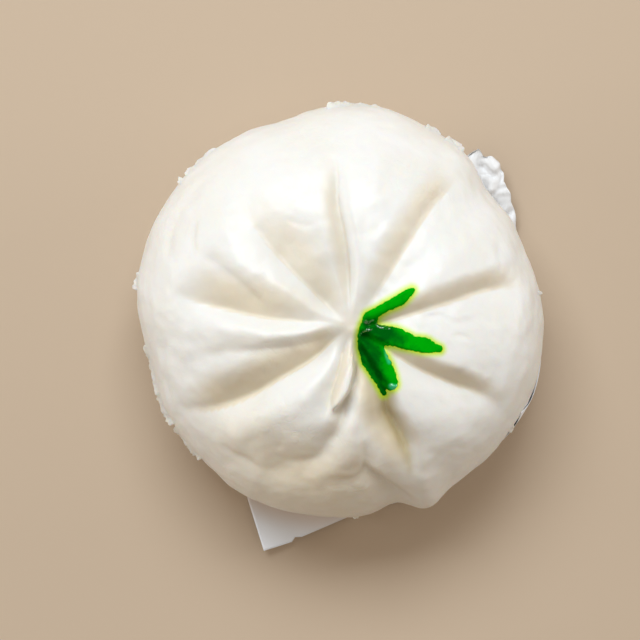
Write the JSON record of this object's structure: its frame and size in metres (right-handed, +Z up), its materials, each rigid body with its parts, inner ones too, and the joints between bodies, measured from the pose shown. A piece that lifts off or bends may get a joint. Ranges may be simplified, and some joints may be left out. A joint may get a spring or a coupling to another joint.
{
  "type": "steamed bun",
  "caption": "Round steamed bun of white dough, gathered into creases at the top, resting on its square of baking paper.",
  "frame": {"origin": "point of the paper's flat underside below the middle of the bun's outline", "axes": "+Z up, out of the gathered top; the paper's loose corner points to -Y and a little to -X, and its crumpled corner to +X +Y"},
  "size_m": [0.1049, 0.1152, 0.0515],
  "materials": {
    "dough": "smooth steamed dough, softly glossy, with a green food dye mark beside the gather",
    "paper": "matt white baking paper, lightly creased"
  },
  "bodies": {
    "root": {"bun": "dough", "paper": "paper"}
  },
  "joints": []
}
